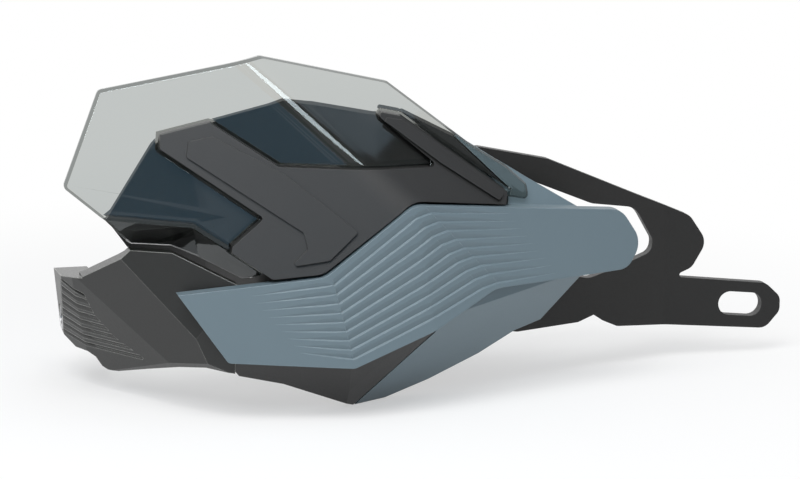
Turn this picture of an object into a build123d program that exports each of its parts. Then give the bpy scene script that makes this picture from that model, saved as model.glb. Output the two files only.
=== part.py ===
from build123d import *
import math
import os

# Motorcycle hand guard, rider's right side, in millimetres.
# Origin: centre of the bar end bore, in the outer face of the bar end arm.
# +X runs inboard along the handlebar, -Y points forward, +Z is up.

# Design points of the faceted front form, on the cover's outer surface
nose_left = (81, -80, 27.5)
nose_right = (112, -78.5, 50)
chin_left = (91, -80, -4.5)
chin_right = (120, -78.5, 7)
cover_tip = (32.5, -71, 22)
cover_end = (199, -57, 29.5)
brow_corner = (10.5, -45, 88.5)
keel_tip = (93, -66, -21)
ridge_top = (65, 94)
brow_end = (174, 44)
heel = (49, -2)
flank_end = (191.5, 21.3)

# Return flange below the left end of the brow, as crease ends and two rim points
flange_outer = (10.5, 46)
flange_bend = (37.5, 43.5)
flange_inner = (63.5, 26.5)
flange_rim_left = (25.5, -53.5, 36)
flange_rim_right = (57, -64.5, 24)

# Design points of the bar end arm
arm_upper_crease = ((16.5, -52, 30.5), (34, -63, 11))
arm_front_point = (54.5, -70, 24.5)
arm_shoulder = (1.2, -30, 22.2)
arm_lower_crease_foot = (30.7, -5.1)
arm_fin_point = (14.2, -20, -15.6)
arm_side_crease = ((2.4, 15), (6.8, -6.6))
arm_side_point = (0, -10, 2.5)
arm_lip_ends = ((17.5, -14.3), (35, -5.3))
arm_lip_foot = (35, -52.6, -7.5)

# Soft bends of the front form
ridge_radius = 22
cover_bend_radius = 30

# Depths below the cover's outer surface
cover_wall = 3
panel_depth = 1.2
visor_wall = 3
seat_depth = 5
shell_wall = 2.8
relief_height = 0.9

# Fits between the mouldings
visor_play = 0.4
seam_gap = 0.5
thread_gap = 0.1

# Front outlines, as X and Z of their corners
cover_corners = [(32.5, 22), (81, 27.5), (112, 50.5), (191.5, 41.8), (199.8, 29.5), (194, 20.5),
                 (142.5, 19), (120, 7), (91, -4.5), (49, -2)]
cover_radii = [0, 9, 9, 8, 8, 6, 8, 8, 3, 2]
base_corners = [(132.5, 68), (139.5, 65.5), (152, 57.5), (177, 42.5), (190, 30), (178.5, 19.5),
                (175.5, 15), (166, 0.5), (156, -2.5), (143, -10.5), (124.5, -18.5), (108, -23.5), (95.5, -24),
                (122, 4.5), (150, 50)]
brow_shell_corners = [(11, 45.5), (27.5, 69.5), (31, 73), (72, 83.5), (104, 76.5), (115, 76.5), (132.5, 67.5),
                      (150, 50), (146, 40), (72, 18.6), (53.6, 18.6), (33, 30.5), (19.5, 33)]
nose_shell_corners = [(150, 50), (122, 4.5), (95.5, -24), (70, -13.6), (54.5, -9.9), (50.5, -4.5), (52, 17),
                      (66, 20), (110, 48)]
panel_corners = [(30, 73.5), (46.5, 77.5), (68.5, 63), (124.6, 60.6), (103, 79.3), (113.5, 76.8), (148.5, 51),
                 (147, 47.3), (112.6, 51.4), (80.7, 28.4), (64, 26.8), (51, 35.5), (51.5, 37.5), (62.5, 46.5),
                 (29.5, 69)]
panel_radii = [0, 1, 1, 1, 1, 0, 0, 0, 9, 9, 1, 0, 0, 1, 1]
relief_corners = [(39, 71.5), (47.5, 73), (70.5, 60.5), (93, 42), (83, 33), (69.5, 31), (76, 36.5), (75, 42),
                  (38, 66.5)]
relief_radius = 0.8
ledge_corners = [(105, 77.5), (113.3, 75.8), (147, 51), (144.5, 49), (125, 62)]
visor_corners = [(10.5, 88), (65.5, 98.5), (111, 87.5), (118, 82), (138.5, 66), (150.5, 58.5), (157, 52.5),
                 (157, 47.5), (147.5, 49.5), (140, 53), (110, 55), (72, 40), (65, 30.5), (57.5, 23.5),
                 (33, 35), (19.5, 35.5), (10.5, 45.5), (-3, 56.5)]
visor_radius = 2
arm_corners = [(-3, -5.6), (-3, 21.6), (4.5, 21.6), (16, 31.4), (19, 34.3), (32.5, 34), (53, 24.2), (52, -7),
               (42.8, -5.6), (35, -7.5), (26.5, -11.1), (17.5, -15.3), (14.2, -15.6), (12.4, -14.6),
               (10.2, -11.2), (7.6, -9.6), (0.9, -5.6)]
arm_step_corners = [(-4, 10), (-4, 30), (4.5, 30), (4.5, 10)]

# Rib field of the cover: first and last line at each of its five bends
rib_count = 9
rib_bends = [((56, 21.5), (72.5, 1.5)), ((84, 25), (90.5, -1)), ((112.6, 46.2), (137.3, 19.8)),
             ((118, 47.7), (143, 21.1)), ((148, 44.5), (166, 22))]
rib_depth = 0.6
rib_ramp = 2
rib_ledge = 0.45
rib_overrun = 3
rib_margin = 0.11

# Bar end arm
arm_wall = 5
arm_end_plate = 6
arm_end_length = 10.5
arm_end_front = -25
arm_end_back = 8.5
arm_end_top = 16
arm_end_bottom = -9.6
arm_end_radius = 6
arm_top_slope = 7
arm_corner_start = -5.4
arm_end_tilt = 5
arm_cup = 25
seat_diameter = 15
seat_height = 1.2
tongue_depth = 14
tongue_wall = 5
tongue_corners = [(45, 9.5), (52, 10), (55, 17.6), (66, 17.6), (82, 10), (82, 1), (72, -3), (45, -4)]
tongue_radius = 2

# Fins at the arm's outer end: grooves from the end face over the side crease
fin_count = 8
fin_start_heights = (17, -4)
fin_bends = ((2.8, 15.1), (6.8, -6.6))
fin_ends = ((4.6, 14.4), (24.3, -6.7))
fin_gap = 1.4
fin_side_depth = 1.5
fin_front_depth = 0.6
fin_limit = [(-3, 18.6), (4, 17.8), (9, 6.7), (15.6, -0.8), (24.3, -6.7), (20, -18), (-3, -18)]

# Bush in the bar end plate
bush_diameter = 9.5
bush_bore = 6.5

# Fork bracket: plate outline, bend and slot
bracket_plate = 4
bracket_front = -19
bracket_bend_x = 222
bracket_bend_angle = 15.6
bracket_bend_radius = 12
bracket_corners = [(224.3, 7.2), (261.4, 2.9), (267.1, -2.5), (267.1, -8), (261.5, -14.4), (201.4, -9),
                   (195.1, -6), (191.5, -3.5), (185, -5.5), (160, -6), (118, 3), (103, 7), (103, 24),
                   (150, 20), (189.4, 10.4), (204, 14), (215.3, 17.5), (216, 22), (208.2, 35),
                   (189.9, 38.2), (165.4, 48.8), (156, 51.5), (150, 43.5), (140, 46), (140, 64),
                   (171.8, 56.2), (209, 39.6), (230.8, 30.1), (237.6, 20), (231.9, 10.4)]
bracket_radii = [1, 5, 4, 4, 5, 4, 0, 0, 0, 4, 8, 6, 6, 8, 6, 8, 4, 4, 8, 8, 8, 3, 3, 4, 4, 8, 8, 6, 6, 5]
slot_center = (251.3, -4.5)
slot_length = 17.2
slot_width = 9
slot_tilt = -6

# Fasteners: thread forming screws with hexagon heads, from behind
screw_hole_play = 0.6
screw_tip_gap = 0.5
bolt_diameter = 5
bolt_head = 8
bolt_head_height = 3.5
bolt_reach = 5.5
boss_diameter = 11
bracket_bolts_at = [(151, 52.5), (152, 6), (112, 15)]
arm_bolts_at = [(60, 12), (74, 5)]
cover_screw_diameter = 4
cover_screw_head = 10
cover_screw_head_height = 2.8
cover_screw_reach = 5
post_diameter = 7
post_play = 0.3
arm_screw_at = (44, 17.5)
shell_screws_at = [(101, 10.5), (104, 27), (127, 29)]

# Space that holds the whole guard, and a length that reaches past it
space = (330, 170, 170)
space_center = (125, -20, 35)
reach = 400


def facet(a, b, c):
    """Plane through three points, facing forward."""
    a, b, c = Vector(a), Vector(b), Vector(c)
    normal = (b - a).cross(c - a).normalized()
    if normal.Y > 0:
        normal = normal * -1
    return Plane(origin=a, z_dir=normal)


def drop(plane, xz):
    """Point of a facet straight behind a place in the front view."""
    normal = plane.z_dir
    start = Vector(xz[0], 0, xz[1])
    depth = (plane.origin - start).dot(normal) / normal.Y
    return Vector(xz[0], depth, xz[1])


front_left = facet(nose_left, chin_left, cover_tip)
front_mid = facet(nose_left, nose_right, chin_left)
front_right = facet(nose_right, chin_right, cover_end)
brow_left = facet(nose_left, nose_right, brow_corner)
brow_right = facet(nose_right, drop(brow_left, ridge_top), drop(front_right, brow_end))
keel_left = facet(drop(front_left, heel), chin_left, keel_tip)
keel_right = facet(chin_left, chin_right, keel_tip)
flank = facet(chin_right, drop(front_right, flank_end), keel_tip)
flange_left = facet(drop(brow_left, flange_outer), drop(brow_left, flange_bend), flange_rim_left)
flange_right = facet(drop(brow_left, flange_bend), drop(brow_left, flange_inner), flange_rim_right)

arm_front = facet(*arm_upper_crease, arm_front_point)
arm_mid = facet(*arm_upper_crease, arm_shoulder)
arm_fin = facet(arm_shoulder, drop(arm_mid, arm_lower_crease_foot), arm_fin_point)
arm_side = facet(drop(arm_fin, arm_side_crease[0]), drop(arm_fin, arm_side_crease[1]), arm_side_point)
arm_lip = facet(drop(arm_fin, arm_lip_ends[0]), drop(arm_mid, arm_lip_ends[1]), arm_lip_foot)
arm_end = Plane(origin=(0, 0, 0), z_dir=Vector(-1, 0, 0).rotate(Axis.Y, -arm_end_tilt))
arm_corner = Plane(origin=(0, 0, arm_corner_start), z_dir=(-1, 0, -1))
arm_top = Plane(origin=(0, arm_end_back, arm_end_top), z_dir=Vector(0, 0, 1).rotate(Axis.X, -arm_top_slope))
arm_rest = front_left.offset(-seat_depth)
arm_facets = [arm_end, arm_corner, arm_side, arm_fin, arm_lip, arm_mid, arm_front, arm_rest]

front_facets = [front_left, front_mid, front_right]
keel_facets = [keel_left, keel_right, flank]


def ahead_of(plane, depth):
    """Everything in front of a facet that is set back by a depth."""
    return plane.offset(-depth) * Pos(0, 0, reach) * Box(2 * reach, 2 * reach, 2 * reach)


def behind(block, facets, depth):
    """What is left of a block behind all the facets, set back by a depth."""
    for plane in facets:
        block = block - ahead_of(plane, depth)
    return block


def above_flange(block, depth):
    """What is left of a block above the return flange, whose two facets meet in an inside corner."""
    return block - (ahead_of(flange_left, depth) & ahead_of(flange_right, depth))


def crease(block, first, second, depth):
    """Edge of a block where two facets meet."""
    planes = [first.offset(-depth), second.offset(-depth)]

    def lies_on_both(edge):
        ends = [edge @ 0, edge @ 1]
        return all(abs(plane.to_local_coords(end).Z) < 0.001 for plane in planes for end in ends)

    return block.edges().filter_by(lies_on_both)


def whole():
    return Pos(*space_center) * Box(*space)


def brow(depth):
    """Upper form with its soft ridge."""
    block = behind(whole(), [brow_left, brow_right], depth)
    return fillet(crease(block, brow_left, brow_right, depth), ridge_radius - depth)


def front(depth):
    """Front form with its two soft bends."""
    block = behind(whole(), front_facets, depth)
    bends = crease(block, front_left, front_mid, depth) + crease(block, front_mid, front_right, depth)
    return fillet(bends, cover_bend_radius - depth)


def nose(depth):
    """Brow, front and keel together."""
    return behind(brow(depth) & front(depth), keel_facets, depth)


def cheek(depth):
    """Brow with the return flange at its left end."""
    return above_flange(brow(depth), depth)


def arm_form(depth):
    return behind(whole(), arm_facets, depth)


def outline(corners, radius=0):
    """Face in the front view from its corners, with one radius or one for each corner."""
    if radius == 0:
        return Plane.XZ * make_face(Polyline(*corners, close=True))
    return Plane.XZ * make_face(FilletPolyline(*corners, radius=radius, close=True))


def through(face):
    """Prism of a front outline, right through the guard."""
    return extrude(face, amount=reach / 2, both=True)


def grown(face, amount):
    return offset(face, amount=amount, kind=Kind.INTERSECTION)


def axis_at(plane, xz, depth=0):
    """Frame on a facet at a place in the front view, with its Z axis pointing forward."""
    return Plane(origin=drop(plane.offset(-depth), xz), z_dir=plane.z_dir)


def rod(frame, diameter, start, end):
    """Cylinder along a frame's Z axis between two heights."""
    return frame * Pos(0, 0, (start + end) / 2) * Cylinder(diameter / 2, abs(end - start))


cover_face = outline(cover_corners, cover_radii)
base_face = outline(base_corners)
brow_shell_face = outline(brow_shell_corners)
nose_shell_face = outline(nose_shell_corners)
panel_face = outline(panel_corners, panel_radii)
relief_face = outline(relief_corners, relief_radius)
ledge_face = outline(ledge_corners, relief_radius)
visor_face = outline(visor_corners, visor_radius)
arm_face = outline(arm_corners)
tongue_face = outline(tongue_corners, tongue_radius)
bracket_face = outline(bracket_corners, bracket_radii)

shell_back = seat_depth + shell_wall
wall_middle = seat_depth + shell_wall / 2
visor_depth = seat_depth - visor_wall
arm_back = seat_depth + arm_wall
tongue_back = tongue_depth + tongue_wall
bolt_hole = bolt_diameter + screw_hole_play
bracket_side = Plane(origin=(bracket_bend_x, bracket_front, 0),
                     z_dir=Vector(0, -1, 0).rotate(Axis.Z, bracket_bend_angle))
bracket_frames = [axis_at(bracket_side, place) for place in bracket_bolts_at]
arm_frames = [axis_at(front_left, place, tongue_depth) for place in arm_bolts_at]


def front_facet_at(place):
    """Facet of the cover at a place in the front view."""
    return max(front_facets, key=lambda plane: drop(plane, place).Y)


# Frames of the cover screws, on the back of the wall that each one clamps
arm_screw_frame = axis_at(arm_front, arm_screw_at, arm_wall)
shell_screw_frames = [axis_at(front_facet_at(place), place, shell_back) for place in shell_screws_at]
screw_frames = [arm_screw_frame] + shell_screw_frames


def rib_point(bend, share):
    """Place on a bend of the rib field, from its first line (0) to its last (1)."""
    first, last = rib_bends[bend]
    return (first[0] + (last[0] - first[0]) * share, first[1] + (last[1] - first[1]) * share)


def rib_groove(plane, start, end, start_lift, end_lift):
    """Sawtooth groove along one run of a rib line on a facet, shallower where an end is lifted."""
    a = drop(plane, start) + plane.z_dir * start_lift
    b = drop(plane, end) + plane.z_dir * end_lift
    along = (b - a).normalized()
    section = Plane(origin=a - along * rib_overrun, x_dir=along.cross(plane.z_dir), z_dir=along)
    tooth = Polyline((-2 * rib_ramp, -rib_depth), (0, rib_depth), (2 * rib_ledge, -rib_depth), close=True)
    return extrude(section * make_face(tooth), amount=(b - a).length + 2 * rib_overrun)


def rib_field(plane, bend):
    """Grooves of all rib lines between two bends on a facet; they fade at both ends of the field."""
    low, high = -rib_margin, 1 + rib_margin
    limit = outline([rib_point(bend, low), rib_point(bend + 1, low), rib_point(bend + 1, high),
                     rib_point(bend, high)])
    start_lift = rib_depth if bend == 0 else 0
    end_lift = rib_depth if bend + 1 == len(rib_bends) - 1 else 0
    grooves = []
    for k in range(rib_count):
        share = k / (rib_count - 1)
        start, end = rib_point(bend, share), rib_point(bend + 1, share)
        grooves.append(rib_groove(plane, start, end, start_lift, end_lift))
    return through(limit) & (Part() + grooves)


def bosses(frames, shape):
    """Round bosses that stand on a clamped face and end inside a form."""
    return Part() + [rod(frame, boss_diameter, 0, reach / 4) & shape for frame in frames]


def pilots(frames, diameter, length):
    return [rod(frame, diameter + 2 * thread_gap, 0, length + screw_tip_gap) for frame in frames]


def make_cover():
    """Front cover: ribbed panel on a skirt, with the wing and the flank that stand behind its edges."""
    inside = through(grown(cover_face, -cover_wall))
    rim = through(cover_face) - inside
    panel = through(cover_face) & (front(0) - front(cover_wall))
    skirt = rim & (front(cover_wall) - front(seat_depth))
    walls = (nose(seat_depth) - nose(shell_back)) & through(base_face)
    deep_rim = rim & (front(cover_wall) - front(shell_back)) & nose(seat_depth - shell_wall)
    deep_rim = deep_rim & through(base_face)
    shells = through(grown(brow_shell_face, seam_gap)) + through(grown(nose_shell_face, seam_gap))
    base = (walls - inside + deep_rim) - shells
    frames = bracket_frames[:2]
    stands = bosses(frames, nose(wall_middle) & through(base_face)) - (shells - nose(shell_back + seam_gap))
    cover = panel + skirt + base + stands - pilots(frames, bolt_diameter, bolt_reach)
    cover = cover - rib_field(front_left, 0) - rib_field(front_mid, 1)
    for bend in (1, 2, 3):
        cover = cover - rib_field(front_right, bend)
    posts = [rod(frame, post_diameter, post_play, reach / 4) for frame in screw_frames]
    posts = [post & front(cover_wall / 2) for post in posts]
    return cover + posts - pilots(screw_frames, cover_screw_diameter, cover_screw_reach)


def make_shell():
    """Main shell: brow and nose walls with the raised panel, its relief and the bosses behind."""
    def lip(depth):
        return above_flange(brow(depth) & front(depth), depth)

    brow_wall = through(brow_shell_face) & (lip(seat_depth) - lip(shell_back))
    nose_wall = through(nose_shell_face) & (nose(seat_depth) - nose(shell_back))
    raised = through(panel_face) & (brow(panel_depth) - brow(shell_back))
    reliefs = through(relief_face) + through(ledge_face)
    relief = reliefs & (brow(panel_depth - relief_height) - brow(panel_depth + relief_height))
    frames = bracket_frames[2:] + arm_frames
    shell = brow_wall + nose_wall + raised + relief
    arm_depth = arm_wall + seam_gap
    arm_space = through(grown(tongue_face, seam_gap))
    for plane in (arm_front, arm_mid, arm_lip, arm_rest):
        arm_space = arm_space + ahead_of(plane, arm_depth)
    shell = shell - (through(grown(arm_face, seam_gap)) & arm_space) + bosses(frames, nose(wall_middle))
    shell = shell - pilots(frames, bolt_diameter, bolt_reach)
    hole = post_diameter + 2 * post_play
    return shell - [rod(frame, hole, -shell_wall, 2 * shell_wall) for frame in shell_screw_frames]


def make_visor():
    """Clear screen with cut-outs for the raised panel and a return flange at its left end."""
    plate = through(visor_face) - through(grown(panel_face, visor_play))
    return plate & (cheek(visor_depth) - cheek(visor_depth + visor_wall))


def between(first, second, share):
    return Vector(first) + (Vector(second) - Vector(first)) * share


def fin_cut(share):
    """Thin slab through one fin line: from the end face to the side crease and on along the finned facet."""
    start = drop(arm_side, (0, fin_start_heights[0] + (fin_start_heights[1] - fin_start_heights[0]) * share))
    bend = between(*[drop(arm_fin, place) for place in fin_bends], share)
    end = between(*[drop(arm_fin, place) for place in fin_ends], share)
    along = end - bend
    return Plane(origin=bend, x_dir=along, z_dir=(start - bend).cross(along)) * Box(reach, reach, fin_gap)


def make_arm():
    """Bar end arm: faceted wall, end block for the handlebar, fins and the tongue behind the shell."""
    def layer(start, end):
        return behind(whole(), [front_left], start) - behind(whole(), [front_left], end)

    ahead = Pos(0, arm_end_back - reach, 0) * Box(2 * reach, 2 * reach, 2 * reach)
    wall = through(arm_face) & (arm_form(0) - arm_form(arm_wall)) & ahead
    block = Rectangle(arm_end_back - arm_end_front, 2 * arm_end_top - arm_end_bottom)
    block = Pos((arm_end_back + arm_end_front) / 2, (2 * arm_end_top + arm_end_bottom) / 2) * block
    block = extrude(Plane.YZ * block, amount=arm_end_length)
    low_edge = block.edges().filter_by(Axis.X).group_by(Axis.Y)[-1].sort_by(Axis.Z)[0]
    block = (fillet(low_edge, arm_end_radius) & arm_form(0)) - ahead_of(arm_top, 0)
    cup = Pos(arm_end_plate + reach / 8, 0, 0) * Cylinder(arm_cup / 2, reach / 4, rotation=(0, 90, 0))
    pad = Pos(arm_end_plate, 0, 0) * Cylinder(seat_diameter / 2, 2 * seat_height, rotation=(0, 90, 0))
    body = wall - (through(outline(arm_step_corners)) & ahead_of(arm_top, 0)) + block - cup + pad
    skin = ahead_of(arm_side, fin_side_depth) + ahead_of(arm_fin, fin_front_depth)
    cuts = Part() + [fin_cut(k / (fin_count - 1)) for k in range(fin_count)]
    body = body - (cuts & skin & through(outline(fin_limit)))
    tongue = through(tongue_face) & layer(tongue_depth, tongue_back)
    web = through(tongue_face) & layer(arm_back - arm_wall / 2, tongue_depth + tongue_wall / 2)
    web = web & through(arm_face)
    bore = Cylinder(bush_diameter / 2, 3 * arm_end_plate, rotation=(0, 90, 0))
    hole = rod(arm_screw_frame, post_diameter + 2 * post_play, -arm_wall, 2 * arm_wall)
    bolt_holes = [rod(frame, bolt_hole, -2 * tongue_wall, tongue_wall) for frame in arm_frames]
    return body + tongue + web - bore - hole - bolt_holes


def make_bracket():
    """Fork bracket: bent plate with two arms, bolt holes and a slotted tab."""
    half = bracket_plate / 2
    back = Vector(0, 1, 0).rotate(Axis.Z, bracket_bend_angle)
    left = Vector(-1, 0, 0).rotate(Axis.Z, bracket_bend_angle)
    bend = Vector(bracket_bend_x, bracket_front, 0)
    turn = half * math.tan(math.radians(bracket_bend_angle / 2))
    line = FilletPolyline(bend + left * reach / 2 + back * half, bend + Vector(-turn, half, 0),
                          bend + Vector(reach / 4, half, 0), radius=bracket_bend_radius)
    sheet = extrude(trace(line, bracket_plate), amount=reach / 4, both=True)
    slot = Plane.XZ * Pos(*slot_center) * SlotOverall(slot_length, slot_width, rotation=slot_tilt)
    holes = [rod(frame, bolt_hole, -2 * bracket_plate, bracket_plate) for frame in bracket_frames]
    return (sheet & through(bracket_face)) - through(slot) - holes


def make_bush():
    """Sleeve that the bar end bolt passes, flush with the end face and the seat."""
    ring = Circle(bush_diameter / 2) - Circle(bush_bore / 2)
    return extrude(Plane.YZ * ring, amount=arm_end_plate + seat_height)


def screw(frame, clamped, diameter, head, head_height, length):
    """Hexagon head screw from behind, through a clamped wall into its pilot hole."""
    hexagon = frame * Pos(0, 0, -clamped) * RegularPolygon(head / 2, 6, major_radius=False)
    return extrude(hexagon, amount=-head_height) + rod(frame, diameter, -clamped, length)


def bolts(frames, clamped):
    return Compound([screw(frame, clamped, bolt_diameter, bolt_head, bolt_head_height, bolt_reach)
                     for frame in frames])


cover_screws = [screw(frame, 0, cover_screw_diameter, cover_screw_head, cover_screw_head_height,
                      cover_screw_reach) for frame in screw_frames]

nodes = {
    "front_cover": make_cover(),
    "main_shell": make_shell(),
    "visor": make_visor(),
    "bar_end_arm": make_arm(),
    "bar_end_bush": make_bush(),
    "fork_bracket": make_bracket(),
    "bracket_bolts": bolts(bracket_frames, bracket_plate),
    "arm_bolts": bolts(arm_frames, tongue_wall),
    "cover_screws": Compound(cover_screws),
}

os.makedirs("parts", exist_ok=True)
for name, shape in nodes.items():
    export_step(shape, f"parts/{name}.step")
    print(name, len(shape.solids()), round(shape.volume))
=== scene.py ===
import bpy
import bmesh
import math
import numpy
from mathutils import Matrix, Vector
from mathutils.bvhtree import BVHTree


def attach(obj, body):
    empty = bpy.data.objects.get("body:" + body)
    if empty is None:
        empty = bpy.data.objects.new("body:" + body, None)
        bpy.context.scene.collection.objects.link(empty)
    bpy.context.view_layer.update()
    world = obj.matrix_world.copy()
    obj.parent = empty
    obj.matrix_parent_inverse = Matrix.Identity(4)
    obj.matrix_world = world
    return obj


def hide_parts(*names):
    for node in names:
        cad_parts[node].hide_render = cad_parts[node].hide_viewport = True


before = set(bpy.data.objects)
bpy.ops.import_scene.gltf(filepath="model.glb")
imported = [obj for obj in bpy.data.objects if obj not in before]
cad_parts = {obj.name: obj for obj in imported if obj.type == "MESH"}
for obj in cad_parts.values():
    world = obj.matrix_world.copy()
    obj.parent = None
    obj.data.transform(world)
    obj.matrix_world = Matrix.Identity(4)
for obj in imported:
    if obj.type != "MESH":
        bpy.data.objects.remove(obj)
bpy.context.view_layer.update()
scene = bpy.context.scene
scene.view_settings.view_transform = "Standard"
millimetre = 0.001
print("frame loaded:", len(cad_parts), "nodes")


# node tree helpers

def addNode(tree, kind, **settings):
    node = tree.nodes.new(kind)
    for key, value in settings.items():
        setattr(node, key, value)
    return node


def feed(tree, source, target):
    tree.links.new(source, target)


# a number or a colour goes on the socket itself, an output is linked to it
def give(tree, value, socket):
    if isinstance(value, (int, float)):
        socket.default_value = value
    elif isinstance(value, tuple):
        socket.default_value = (*value, 1.0)
    else:
        feed(tree, value, socket)


def mathNode(tree, operation, *values, clamp=False):
    node = addNode(tree, "ShaderNodeMath", operation=operation, use_clamp=clamp)
    for value, socket in zip(values, node.inputs):
        give(tree, value, socket)
    return node.outputs[0]


def mixColour(tree, share, first, second):
    node = addNode(tree, "ShaderNodeMix", data_type="RGBA")
    for value, index in ((share, 0), (first, 6), (second, 7)):  # the colour sockets of this node
        give(tree, value, node.inputs[index])
    return node.outputs[2]


def mixValue(tree, share, first, second):
    node = addNode(tree, "ShaderNodeMix", data_type="FLOAT")
    for value, index in ((share, 0), (first, 2), (second, 3)):  # its number sockets
        give(tree, value, node.inputs[index])
    return node.outputs[0]


def mixShaders(tree, share, first, second):
    node = addNode(tree, "ShaderNodeMixShader")
    for source, socket in zip((share, first, second), node.inputs):
        feed(tree, source, socket)
    feed(tree, node.outputs[0], tree.nodes["Material Output"].inputs["Surface"])


def noise(tree, vector, scale, detail=3.0, roughness=0.55):
    node = addNode(tree, "ShaderNodeTexNoise")
    values = {"Vector": vector, "Scale": scale, "Detail": detail, "Roughness": roughness}
    for label, value in values.items():
        give(tree, value, node.inputs[label])
    return node.outputs["Fac"]


noiseSpan = (0.3, 0.7)  # where most of a noise's values lie


def mapRange(tree, value, given, wanted, kind="LINEAR"):
    node = addNode(tree, "ShaderNodeMapRange", interpolation_type=kind)
    for label, number in zip(("From Min", "From Max", "To Min", "To Max"), (*given, *wanted)):
        node.inputs[label].default_value = number
    feed(tree, value, node.inputs["Value"])
    return node.outputs["Result"]


def bump(tree, height, normal, strength, distance):
    node = addNode(tree, "ShaderNodeBump")
    values = {"Height": height, "Normal": normal, "Strength": strength, "Distance": distance}
    for label, value in values.items():
        give(tree, value, node.inputs[label])
    return node.outputs["Normal"]


# 1 for a ray of any of these kinds, 0 for the others
def anyRay(tree, first, *others):
    rays = addNode(tree, "ShaderNodeLightPath").outputs
    found = rays[first]
    for kind in others:
        found = mathNode(tree, "MAXIMUM", found, rays[kind])
    return found


# each group reads the place on the piece, and its other inputs are numbers
def newGroup(name, inputs, outputs):
    tree = bpy.data.node_groups.new(name, "ShaderNodeTree")
    tree.interface.new_socket(name="Vector", in_out="INPUT", socket_type="NodeSocketVector")
    for label, value in inputs.items():
        socket = tree.interface.new_socket(name=label, in_out="INPUT", socket_type="NodeSocketFloat")
        socket.default_value = value
    for label, kind in outputs.items():
        tree.interface.new_socket(name=label, in_out="OUTPUT", socket_type=kind)
    return tree, addNode(tree, "NodeGroupInput").outputs, addNode(tree, "NodeGroupOutput").inputs


def placeGroup(tree, group, **values):
    node = addNode(tree, "ShaderNodeGroup", node_tree=group)
    for label, value in values.items():
        give(tree, value, node.inputs[label])
    return node.outputs


# pebbled mould texture: a height for the bump, a slow tone that drifts over the piece, and a fine speck
def makeMouldGrain():
    number = "NodeSocketFloat"
    tree, given, result = newGroup("mouldGrain", {"Pebble": 1400.0, "Drift": 14.0},
                                   {"Height": number, "Tone": number, "Speck": number})
    cellShare = 0.6  # the pebbles' part in the height
    cells = addNode(tree, "ShaderNodeTexVoronoi", feature="SMOOTH_F1")
    feed(tree, given["Vector"], cells.inputs["Vector"])
    feed(tree, given["Pebble"], cells.inputs["Scale"])
    fine = noise(tree, given["Vector"], given["Pebble"], detail=4.0)
    height = mathNode(tree, "MULTIPLY_ADD", cells.outputs["Distance"], cellShare, fine)
    feed(tree, height, result["Height"])
    feed(tree, noise(tree, given["Vector"], given["Drift"], detail=4.0), result["Tone"])
    feed(tree, fine, result["Speck"])
    return tree


# rounded edges: the normal to shade with, and a patchy mask along the edges
def makeEdgeRound():
    tree, given, result = newGroup("edgeRound", {"Radius": 0.6 * millimetre, "Patch": 300.0},
                                   {"Normal": "NodeSocketVector", "Mask": "NodeSocketFloat"})
    gain = 5.0  # how soon the mask is full as the normal turns
    bevel = addNode(tree, "ShaderNodeBevel", samples=6)
    feed(tree, given["Radius"], bevel.inputs["Radius"])
    agree = addNode(tree, "ShaderNodeVectorMath", operation="DOT_PRODUCT")
    feed(tree, bevel.outputs["Normal"], agree.inputs[0])
    feed(tree, addNode(tree, "ShaderNodeNewGeometry").outputs["Normal"], agree.inputs[1])
    turned = mathNode(tree, "SUBTRACT", 1.0, agree.outputs["Value"])
    edge = mathNode(tree, "MULTIPLY", turned, gain, clamp=True)
    patch = noise(tree, given["Vector"], given["Patch"])
    feed(tree, mathNode(tree, "MULTIPLY", edge, patch, clamp=True), result["Mask"])
    feed(tree, bevel.outputs["Normal"], result["Normal"])
    return tree


# dust that settles on what faces up
def makeSettledDust():
    tree, given, result = newGroup("settledDust", {"Patch": 60.0, "Amount": 0.2},
                                   {"Mask": "NodeSocketFloat"})
    split = addNode(tree, "ShaderNodeSeparateXYZ")
    feed(tree, addNode(tree, "ShaderNodeNewGeometry").outputs["Normal"], split.inputs[0])
    upward = mathNode(tree, "MAXIMUM", split.outputs["Z"], 0.0)
    patch = noise(tree, given["Vector"], given["Patch"], detail=5.0, roughness=0.65)
    settled = mathNode(tree, "MULTIPLY", upward, patch)
    feed(tree, mathNode(tree, "MULTIPLY", settled, given["Amount"], clamp=True), result["Mask"])
    return tree


mouldGrain = makeMouldGrain()
edgeRound = makeEdgeRound()
settledDust = makeSettledDust()
print("shader groups made")


def startMaterial(name):
    material = bpy.data.materials.new(name)
    material.use_nodes = True
    tree = material.node_tree
    shader = tree.nodes["Principled BSDF"]
    place = addNode(tree, "ShaderNodeTexCoord").outputs["Object"]
    return material, tree, shader, place


# moulded plastic with grain, soft edges, a painted highlight along the edges and dust
def mouldedPlastic(name, look):
    material, tree, shader, place = startMaterial(name)
    grain = placeGroup(tree, mouldGrain, Vector=place, Pebble=look["pebble"], Drift=look["drift"])
    edge = placeGroup(tree, edgeRound, Vector=place, Radius=look["edgeRadius"])
    dust = placeGroup(tree, settledDust, Vector=place, Amount=look["dust"])
    body = mixColour(tree, grain["Tone"], look["dark"], look["light"])
    # painted highlight: the edges are lightened towards a paler colour
    highlightAndRubShare = mathNode(tree, "MULTIPLY", edge["Mask"], look["highlightAndRub"])
    highlightedAndRubbed = mixColour(tree, highlightAndRubShare, body, look["highlightAndRubColour"])
    roughness = mapRange(tree, grain["Speck"], noiseSpan, (look["smooth"], look["rough"]))
    normal = bump(tree, grain["Height"], edge["Normal"], look["grainStrength"], look["grainDepth"])
    feed(tree, mixColour(tree, dust["Mask"], highlightedAndRubbed, look["dustColour"]), shader.inputs["Base Color"])
    feed(tree, roughness, shader.inputs["Roughness"])
    feed(tree, normal, shader.inputs["Normal"])
    shader.inputs["IOR"].default_value = look["ior"]
    return material


# the edge lightening in these plastic looks is a painted highlight
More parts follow.
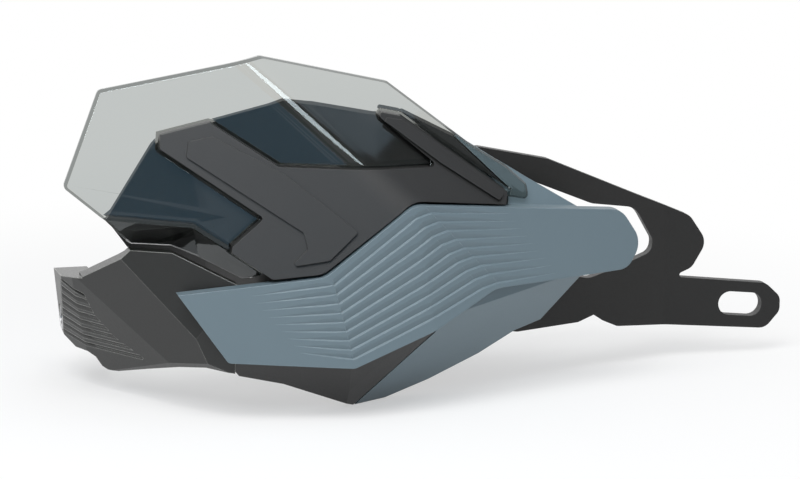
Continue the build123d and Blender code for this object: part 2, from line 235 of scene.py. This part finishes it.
bluePlastic = {
    "dark": (0.110, 0.154, 0.180), "light": (0.122, 0.170, 0.197), "pebble": 2200.0, "drift": 18.0,
    "edgeRadius": 0.4 * millimetre, "highlightAndRub": 0.9, "highlightAndRubColour": (0.30, 0.37, 0.41), "dust": 0.05,
    "dustColour": (0.4, 0.42, 0.42), "smooth": 0.36, "rough": 0.46, "grainStrength": 0.12,
    "grainDepth": 0.05 * millimetre, "ior": 1.5,
}
shellPlastic = {
    "dark": (0.012, 0.0121, 0.0124), "light": (0.016, 0.0161, 0.0164), "pebble": 1800.0, "drift": 16.0,
    "edgeRadius": 0.2 * millimetre, "highlightAndRub": 0.3, "highlightAndRubColour": (0.10, 0.105, 0.105), "dust": 0.05,
    "dustColour": (0.25, 0.25, 0.24), "smooth": 0.42, "rough": 0.52, "grainStrength": 0.2,
    "grainDepth": 0.06 * millimetre, "ior": 1.5,
}
armPlastic = {
    "dark": (0.011, 0.0117, 0.0113), "light": (0.015, 0.0157, 0.0152), "pebble": 1500.0, "drift": 20.0,
    "edgeRadius": 0.45 * millimetre, "highlightAndRub": 1.0, "highlightAndRubColour": (0.6, 0.61, 0.57), "dust": 0.06,
    "dustColour": (0.28, 0.28, 0.26), "smooth": 0.32, "rough": 0.42, "grainStrength": 0.3,
    "grainDepth": 0.07 * millimetre, "ior": 1.5,
}
bracketPaint = {
    "dark": (0.010, 0.0098, 0.0096), "light": (0.015, 0.0147, 0.0144), "pebble": 900.0, "drift": 12.0,
    "edgeRadius": 0.6 * millimetre, "highlightAndRub": 0.35, "highlightAndRubColour": (0.13, 0.13, 0.125), "dust": 0.05,
    "dustColour": (0.25, 0.25, 0.24), "smooth": 0.4, "rough": 0.52, "grainStrength": 0.25,
    "grainDepth": 0.08 * millimetre, "ior": 1.42,
}


# clear screen: tinted, polished, with painted shade on its cut edges, and the lamps shine through to what
# is behind it
smokeScreen = {
    "tint": (0.53, 0.545, 0.525), "paintedRimShade": (0.10, 0.105, 0.10), "lampTint": (0.75, 0.76, 0.745),
    "sheenTint": (0.8, 0.94, 1.0), "ior": 1.49, "edgeRadius": 0.5 * millimetre, "smooth": 0.02,
    "smudged": 0.06, "smudge": 40.0, "wave": 30.0, "waveStrength": 0.05, "waveDepth": 0.1 * millimetre,
}


def screenPlastic(name, look):
    material, tree, shader, place = startMaterial(name)
    edge = placeGroup(tree, edgeRound, Vector=place, Radius=look["edgeRadius"])
    smudge = noise(tree, place, look["smudge"], detail=5.0)
    roughness = mapRange(tree, smudge, noiseSpan, (look["smooth"], look["smudged"]))
    wave = noise(tree, place, look["wave"], detail=1.0)
    normal = bump(tree, wave, edge["Normal"], look["waveStrength"], look["waveDepth"])
    rim = addNode(tree, "ShaderNodeAttribute", attribute_name="rim").outputs["Fac"]  # 1 on the cut edges
    # painted shade: the cut edges take a darker tint
    feed(tree, mixColour(tree, rim, look["tint"], look["paintedRimShade"]), shader.inputs["Base Color"])
    feed(tree, roughness, shader.inputs["Roughness"])
    feed(tree, normal, shader.inputs["Normal"])
    shader.inputs["Specular Tint"].default_value = (*look["sheenTint"], 1.0)
    shader.inputs["Transmission Weight"].default_value = 1.0
    shader.inputs["IOR"].default_value = look["ior"]
    clear = addNode(tree, "ShaderNodeBsdfTransparent")
    clear.inputs["Color"].default_value = (*look["lampTint"], 1.0)
    passing = anyRay(tree, "Is Shadow Ray", "Is Diffuse Ray", "Is Glossy Ray")
    mixShaders(tree, passing, shader.outputs[0], clear.outputs[0])
    return material


# turned and plated metal of the small parts
def turnedMetal(name, look):
    material, tree, shader, place = startMaterial(name)
    edge = placeGroup(tree, edgeRound, Vector=place, Radius=look["edgeRadius"])
    stretch = addNode(tree, "ShaderNodeMapping")
    stretch.inputs["Scale"].default_value = look["stretch"]
    feed(tree, place, stretch.inputs["Vector"])
    lines = noise(tree, stretch.outputs["Vector"], look["lines"], detail=2.0)
    body = mixColour(tree, lines, look["dark"], look["light"])
    # lighter along the edges: partly rub, partly painted highlight
    highlightAndRubShare = mathNode(tree, "MULTIPLY", edge["Mask"], look["highlightAndRub"])
    highlightedAndRubbed = mixColour(tree, highlightAndRubShare, body, look["highlightAndRubColour"])
    roughness = mapRange(tree, lines, noiseSpan, (look["smooth"], look["rough"]))
    normal = bump(tree, lines, edge["Normal"], look["lineStrength"], look["lineDepth"])
    feed(tree, highlightedAndRubbed, shader.inputs["Base Color"])
    feed(tree, roughness, shader.inputs["Roughness"])
    feed(tree, normal, shader.inputs["Normal"])
    shader.inputs["Metallic"].default_value = 1.0
    return material


zincSteel = {
    "dark": (0.30, 0.30, 0.31), "light": (0.42, 0.42, 0.43), "highlightAndRub": 0.5, "highlightAndRubColour": (0.6, 0.6, 0.6),
    "edgeRadius": 0.3 * millimetre, "stretch": (1.0, 1.0, 1.0), "lines": 900.0, "lineStrength": 0.1,
    "lineDepth": 0.02 * millimetre, "smooth": 0.28, "rough": 0.45,
}
bushAlloy = {
    "dark": (0.48, 0.48, 0.49), "light": (0.62, 0.62, 0.63), "highlightAndRub": 0.4, "highlightAndRubColour": (0.75, 0.75, 0.75),
    "edgeRadius": 0.3 * millimetre, "stretch": (6.0, 1.0, 1.0), "lines": 500.0, "lineStrength": 0.1,
    "lineDepth": 0.02 * millimetre, "smooth": 0.25, "rough": 0.4,
}

finishes = {
    "front_cover": mouldedPlastic("satinBluePlastic", bluePlastic),
    "main_shell": mouldedPlastic("satinBlackPlastic", shellPlastic),
    "bar_end_arm": mouldedPlastic("grainedBlackPlastic", armPlastic),
    "fork_bracket": mouldedPlastic("powderCoat", bracketPaint),
    "visor": screenPlastic("smokeScreen", smokeScreen),
    "bar_end_bush": turnedMetal("turnedAlloy", bushAlloy),
}
steel = turnedMetal("zincSteel", zincSteel)
for name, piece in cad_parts.items():
    piece.data.materials.clear()
    piece.data.materials.append(finishes.get(name, steel))
print("finishes placed")


def newObject(name, data):
    added = bpy.data.objects.new(name, data)
    scene.collection.objects.link(added)
    return added


# leaves a plain mesh of what the modifiers make
def bakeModifiers(piece):
    bpy.context.view_layer.update()
    shaped = piece.evaluated_get(bpy.context.evaluated_depsgraph_get())
    done = bpy.data.meshes.new_from_object(shaped)
    piece.modifiers.clear()
    piece.data = done


def standFor(piece, node, slot):
    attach(piece, "root")
    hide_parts(node)


# the screen with chamfered cut edges; angles in degrees, and the last lines tell its sides from its rim
visorLook = {
    "node": "visor", "slot": "smoke_visor", "weld": 0.5 * millimetre, "flatAngle": 1.0, "ridgeAngle": 25.0,
    "chamfer": 1.0 * millimetre, "edgeAngle": 40.0, "flatWeight": 90,
    "inset": 0.02 * millimetre, "reach": 3.9 * millimetre, "opposite": -0.93, "sameWay": 0.98,
    "flatArea": 30.0 * millimetre ** 2, "backedShare": 0.5,
}


# marks the faces that don't lie on the sheet's two sides
def markRim(mesh, look):
    mesh.calc_loop_triangles()
    triangles = [tuple(part.vertices) for part in mesh.loop_triangles]
    sheet = BVHTree.FromPolygons([corner.co for corner in mesh.vertices], triangles)
    backed = [0.0] * len(mesh.polygons)  # area of each face that has the other side close behind it
    for part in mesh.loop_triangles:
        start = part.center - part.normal * look["inset"]
        hit, normal, _, reach = sheet.ray_cast(start, -part.normal)
        if hit is not None and normal.dot(part.normal) < look["opposite"] and reach < look["reach"]:
            backed[part.polygon_index] += part.area
    flats = [face.normal for face, area in zip(mesh.polygons, backed) if area > look["flatArea"]]
    rim = mesh.attributes.new("rim", "FLOAT", "FACE")
    for face, area in zip(mesh.polygons, backed):
        alongFlat = any(face.normal.dot(flat) > look["sameWay"] for flat in flats)
        onSheet = alongFlat or area > look["backedShare"] * face.area
        rim.data[face.index].value = 0.0 if onSheet else 1.0


def makeVisor(look):
    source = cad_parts[look["node"]]
    mesh = source.data.copy()
    mesh.transform(source.matrix_world)
    flatAngle, ridgeAngle = math.radians(look["flatAngle"]), math.radians(look["ridgeAngle"])
    work = bmesh.new()
    work.from_mesh(mesh)
    bmesh.ops.remove_doubles(work, verts=work.verts, dist=look["weld"])
    bmesh.ops.dissolve_limit(work, angle_limit=flatAngle, verts=work.verts, edges=work.edges)
    bmesh.ops.recalc_face_normals(work, faces=work.faces)
    for face in work.faces:
        face.smooth = True
    for line in work.edges:
        line.smooth = len(line.link_faces) == 2 and line.calc_face_angle() < ridgeAngle
    work.to_mesh(mesh)
    work.free()
    piece = newObject(look["node"] + "_rounded", mesh)
    chamfer = piece.modifiers.new("chamfer", "BEVEL")
    chamfer.width, chamfer.segments, chamfer.use_clamp_overlap = look["chamfer"], 1, False
    chamfer.limit_method, chamfer.angle_limit = "ANGLE", math.radians(look["edgeAngle"])
    even = piece.modifiers.new("evenNormals", "WEIGHTED_NORMAL")  # flats stay flat, the ridge smooth
    even.mode, even.weight, even.keep_sharp = "FACE_AREA", look["flatWeight"], True
    bakeModifiers(piece)
    markRim(piece.data, look)
    standFor(piece, look["node"], look["slot"])
    print("visor made:", len(piece.data.polygons), "faces")


makeVisor(visorLook)


# hexagon bolts with a chamfered, dished head on a round flange, set where the solids have them
boltLook = {
    "nodes": ("bracket_bolts", "arm_bolts", "cover_screws"), "slot": "fastener_steel",
    "Top share": 0.93, "Flange height": 0.6 * millimetre, "Flange share": 0.98, "Dish share": 0.55,
    "Dish depth": 0.3 * millimetre, "dishTaper": 0.8, "chamferAngle": 60.0,
    "roundSides": 48, "shankSides": 32, "weld": 0.01 * millimetre,
    "headFrom": 0.8, "shankBelow": 0.7,  # shares of the corner radius that tell the head from the shank
}
readSizes = ("Corner radius", "Head height", "Shank radius", "Shank length")
givenSizes = ("Top share", "Flange height", "Flange share", "Dish share", "Dish depth")


# the corners of each loose solid, in the mesh's own order
def looseSolids(work):
    known = set()
    for first in work.verts:
        if first.index in known:
            continue
        known.add(first.index)
        corners = [first]
        for corner in corners:  # the list grows while it is walked
            for other in (line.other_vert(corner) for line in corner.link_edges):
                if other.index not in known:
                    known.add(other.index)
                    corners.append(other)
        yield corners


# a bolt's axis is the way that its faces share least or most, whichever stands apart
def boltAxis(corners):
    spread = numpy.zeros((3, 3))
    for face in {face.index: face for corner in corners for face in corner.link_faces}.values():
        spread += face.calc_area() * numpy.outer(face.normal, face.normal)
    amounts, ways = numpy.linalg.eigh(spread)
    apart = 0 if amounts[1] - amounts[0] > amounts[2] - amounts[1] else 2
    return Vector(ways[:, apart])


# place, size and turn of each bolt, read from the solids of a node
def readBolts(source, look):
    work = bmesh.new()
    work.from_mesh(source.data)
    work.transform(source.matrix_world)
    bmesh.ops.remove_doubles(work, verts=work.verts, dist=look["weld"])
    work.verts.index_update()
    work.faces.index_update()
    bolts = []
    for corners in looseSolids(work):
        axis = boltAxis(corners)
        places = [corner.co.copy() for corner in corners]
        middle = sum(places, Vector()) / len(places)
        heights = [(place - middle).dot(axis) for place in places]
        outs = [place - middle - axis * height for place, height in zip(places, heights)]
        widest = max(out.length for out in outs)
        head = [height for height, out in zip(heights, outs) if out.length > look["headFrom"] * widest]
        if sum(head) < 0.0:  # the axis points from the shank to the head
            axis, heights, head = -axis, [-height for height in heights], [-height for height in head]
        thin = [out.length for out in outs if out.length < look["shankBelow"] * widest]
        bolts.append({
            "seat": middle + axis * min(head), "axis": axis,
            "corner": max(outs, key=lambda out: out.length), "Corner radius": widest,
            "Head height": max(head) - min(head), "Shank radius": max(thin),
            "Shank length": min(head) - min(heights),
        })
    work.free()
    return bolts


def makeBoltTree(material, look):
    tree = bpy.data.node_groups.new("hexBolts", "GeometryNodeTree")
    tree.interface.new_socket(name="Geometry", in_out="INPUT", socket_type="NodeSocketGeometry")
    for label in readSizes + givenSizes:
        tree.interface.new_socket(name=label, in_out="INPUT", socket_type="NodeSocketFloat")
    tree.interface.new_socket(name="Geometry", in_out="OUTPUT", socket_type="NodeSocketGeometry")
    size = addNode(tree, "NodeGroupInput").outputs
    result = addNode(tree, "NodeGroupOutput").inputs

    def times(first, second):
        return mathNode(tree, "MULTIPLY", first, second)

    def lifted(shape, height):
        move = addNode(tree, "GeometryNodeTransform")
        place = addNode(tree, "ShaderNodeCombineXYZ")
        feed(tree, height, place.inputs["Z"])
        feed(tree, place.outputs[0], move.inputs["Translation"])
        feed(tree, shape, move.inputs["Geometry"])
        return move.outputs[0]

    def cylinder(sides, radius, depth):
        shape = addNode(tree, "GeometryNodeMeshCylinder", fill_type="NGON")
        shape.inputs["Vertices"].default_value = sides
        feed(tree, radius, shape.inputs["Radius"])
        feed(tree, depth, shape.inputs["Depth"])
        return shape.outputs["Mesh"]

    def cone(low, high, depth):
        shape = addNode(tree, "GeometryNodeMeshCone", fill_type="NGON")
        shape.inputs["Vertices"].default_value = look["roundSides"]
        feed(tree, low, shape.inputs["Radius Bottom"])
        feed(tree, high, shape.inputs["Radius Top"])
        feed(tree, depth, shape.inputs["Depth"])
        return shape.outputs["Mesh"]

    def combine(operation, first, *others):
        node = addNode(tree, "GeometryNodeMeshBoolean", operation=operation, solver="EXACT")
        feed(tree, first, node.inputs["Mesh 1" if operation == "DIFFERENCE" else "Mesh 2"])
        for other in others:
            feed(tree, other, node.inputs["Mesh 2"])
        return node.outputs["Mesh"]

    # the head: a hexagon under a cone, with a shallow dish in its top
    half = times(size["Head height"], 0.5)
    flat = times(size["Corner radius"], math.cos(math.pi / 6.0))
    top = times(flat, size["Top share"])
    slope = math.tan(math.radians(look["chamferAngle"]))
    foot = mathNode(tree, "ADD", top, times(size["Head height"], slope))
    prism = lifted(cylinder(6, size["Corner radius"], size["Head height"]), half)
    head = combine("INTERSECT", prism, cone(foot, top, size["Head height"]))
    rim = times(flat, size["Dish share"])
    dish = cone(times(rim, look["dishTaper"]), rim, times(size["Dish depth"], 2.0))
    bottom = mathNode(tree, "SUBTRACT", size["Head height"], size["Dish depth"])
    head = combine("DIFFERENCE", head, lifted(dish, bottom))

    # the flange under it, and the shank from inside the head to its tip
    flangeRadius = times(size["Corner radius"], size["Flange share"])
    flange = cylinder(look["roundSides"], flangeRadius, size["Flange height"])
    reach = mathNode(tree, "ADD", size["Shank length"], half)
    drop = mathNode(tree, "SUBTRACT", half, times(reach, 0.5))
    shank = lifted(cylinder(look["shankSides"], size["Shank radius"], reach), drop)
    bolt = combine("UNION", head, lifted(flange, times(size["Flange height"], 0.5)), shank)

    # one bolt on each seat, turned to its axis and one corner of the hexagon
    turn = addNode(tree, "FunctionNodeAxesToRotation", primary_axis="Z", secondary_axis="X")
    for label, socket in zip(("axis", "corner"), turn.inputs):
        way = addNode(tree, "GeometryNodeInputNamedAttribute", data_type="FLOAT_VECTOR")
        way.inputs["Name"].default_value = label
        feed(tree, way.outputs["Attribute"], socket)
    spread = addNode(tree, "GeometryNodeInstanceOnPoints")
    feed(tree, size["Geometry"], spread.inputs["Points"])
    feed(tree, bolt, spread.inputs["Instance"])
    feed(tree, turn.outputs[0], spread.inputs["Rotation"])
    real = addNode(tree, "GeometryNodeRealizeInstances")
    feed(tree, spread.outputs[0], real.inputs["Geometry"])
    finish = addNode(tree, "GeometryNodeSetMaterial")
    finish.inputs["Material"].default_value = material
    feed(tree, real.outputs[0], finish.inputs["Geometry"])
    feed(tree, finish.outputs[0], result["Geometry"])
    return tree


def makeBolts(name, look, tree):
    bolts = readBolts(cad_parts[name], look)
    mesh = bpy.data.meshes.new(name + "_hex")
    mesh.from_pydata([bolt["seat"] for bolt in bolts], [], [])
    for label in ("axis", "corner"):
        ways = mesh.attributes.new(label, "FLOAT_VECTOR", "POINT")
        for index, bolt in enumerate(bolts):
            ways.data[index].vector = bolt[label].normalized()
    piece = newObject(name + "_hex", mesh)
    modifier = piece.modifiers.new("bolts", "NODES")
    modifier.node_group = tree
    sizes = {label: bolts[0][label] for label in readSizes} | {label: look[label] for label in givenSizes}
    for socket in tree.interface.items_tree:
        if socket.name in sizes:
            modifier[socket.identifier] = sizes[socket.name]
    bakeModifiers(piece)
    standFor(piece, name, look["slot"])
    print("bolts made:", name, len(bolts), "with", len(piece.data.polygons), "faces")


boltTree = makeBoltTree(steel, boltLook)
for name in boltLook["nodes"]:
    makeBolts(name, boltLook, boltTree)


# pale floor that keeps the shadow near the guard and runs out to white
stageLook = {
    "height": -24.3 * millimetre, "reach": 6.0, "albedo": 0.86, "roughness": 0.9, "centre": (0.07, 0.0),
    "fade": (0.05, 0.36), "least": 0.47,
}


def makeFloor(look):
    reach, height = look["reach"], look["height"]
    mesh = bpy.data.meshes.new("floor")
    corners = [(-reach, -reach), (reach, -reach), (reach, reach), (-reach, reach)]
    mesh.from_pydata([(*corner, height) for corner in corners], [], [(0, 1, 2, 3)])
    floor = newObject("floor", mesh)
    material, tree, shader, place = startMaterial("paleFloor")
    shader.inputs["Base Color"].default_value = (look["albedo"],) * 3 + (1.0,)
    shader.inputs["Roughness"].default_value = look["roughness"]
    shader.inputs["Specular IOR Level"].default_value = 0.0
    away = addNode(tree, "ShaderNodeVectorMath", operation="DISTANCE")
    feed(tree, place, away.inputs[0])
    away.inputs[1].default_value = (*look["centre"], height)
    fade = mapRange(tree, away.outputs["Value"], look["fade"], (look["least"], 1.0), "SMOOTHSTEP")
    seen = anyRay(tree, "Is Camera Ray", "Is Glossy Ray", "Is Transmission Ray")
    white = addNode(tree, "ShaderNodeEmission")
    white.inputs["Strength"].default_value = 1.0
    share = mathNode(tree, "MULTIPLY", seen, fade, clamp=True)
    mixShaders(tree, share, shader.outputs[0], white.outputs[0])
    mesh.materials.append(material)


makeFloor(stageLook)

# even white room, and what shines in it comes from one side
roomLook = {
    "light": 0.36, "shade": 0.08, "glow": 1.45, "brightWay": (-0.65, 0.68, 0.33),
    "brightSpan": (-0.3, 0.8),
}


def makeRoom(look):
    world = bpy.data.worlds.new("studio")
    world.use_nodes = True
    tree = world.node_tree
    way = addNode(tree, "ShaderNodeVectorMath", operation="DOT_PRODUCT")
    feed(tree, addNode(tree, "ShaderNodeTexCoord").outputs["Generated"], way.inputs[0])
    way.inputs[1].default_value = look["brightWay"]
    shine = (look["shade"], look["glow"])
    sheen = mapRange(tree, way.outputs["Value"], look["brightSpan"], shine, "SMOOTHSTEP")
    lit = mixValue(tree, anyRay(tree, "Is Glossy Ray"), look["light"], sheen)
    seen = anyRay(tree, "Is Camera Ray", "Is Transmission Ray")
    background = tree.nodes["Background"]
    background.inputs["Color"].default_value = (1.0, 1.0, 1.0, 1.0)
    feed(tree, mixValue(tree, seen, lit, 1.0), background.inputs["Strength"])
    scene.world = world


makeRoom(roomLook)

# soft boxes: a small one that the screen's ridge mirrors as a bright line, two above the guard, and two
# cool ones that tint what the screen's flats mirror
lampAim = (0.12, -0.05, 0.03)
lampLook = [
    {"name": "frontBox", "at": (0.315, -0.65, 0.85), "size": 0.13, "power": 0.55, "tone": (1.0, 1.0, 1.0)},
    {"name": "leftBox", "at": (-0.45, -0.7, 0.95), "size": 0.65, "power": 9.5, "tone": (1.0, 1.0, 1.0)},
    {"name": "topBox", "at": (-0.03, -0.63, 1.07), "size": 0.5, "power": 5.0, "tone": (1.0, 1.0, 1.0)},
    {"name": "cameraBox", "at": (-0.31, -1.43, 0.81), "size": 0.8, "power": 1.5, "tone": (0.2, 0.63, 1.0)},
    {"name": "rightBox", "at": (0.52, -0.275, 1.3), "size": 0.65, "power": 1.3, "tone": (0.72, 0.86, 1.0)},
]


def makeLamps(boxes, aim):
    for box in boxes:
        lamp = bpy.data.lights.new(box["name"], "AREA")
        lamp.energy, lamp.size, lamp.color = box["power"], box["size"], box["tone"]
        holder = newObject(box["name"], lamp)
        towards = Vector(aim) - Vector(box["at"])
        holder.location = box["at"]
        holder.rotation_euler = towards.to_track_quat("-Z", "Y").to_euler()


makeLamps(lampLook, lampAim)

# turn and rise in degrees, lens and sensor in millimetres
cameraLook = {
    "turn": -13.0, "rise": 12.0, "lens": 117.0, "sensor": 36.0, "at": (-0.0857, -0.913, 0.2213),
    "nearest": 10.0 * millimetre,
}


def makeCamera(look):
    turn, rise = math.radians(look["turn"]), math.radians(look["rise"])
    back = Vector((math.sin(turn) * math.cos(rise), -math.cos(turn) * math.cos(rise), math.sin(rise)))
    right = Vector((math.cos(turn), math.sin(turn), 0.0))
    up = back.cross(right)
    view = bpy.data.cameras.new("photoView")
    view.lens, view.sensor_width, view.sensor_fit = look["lens"], look["sensor"], "HORIZONTAL"
    view.clip_start = look["nearest"]
    holder = newObject("photoView", view)
    holder.matrix_world = Matrix.Translation(look["at"]) @ Matrix((right, up, back)).transposed().to_4x4()
    scene.camera = holder


makeCamera(cameraLook)
print("stage, lamps and camera set")
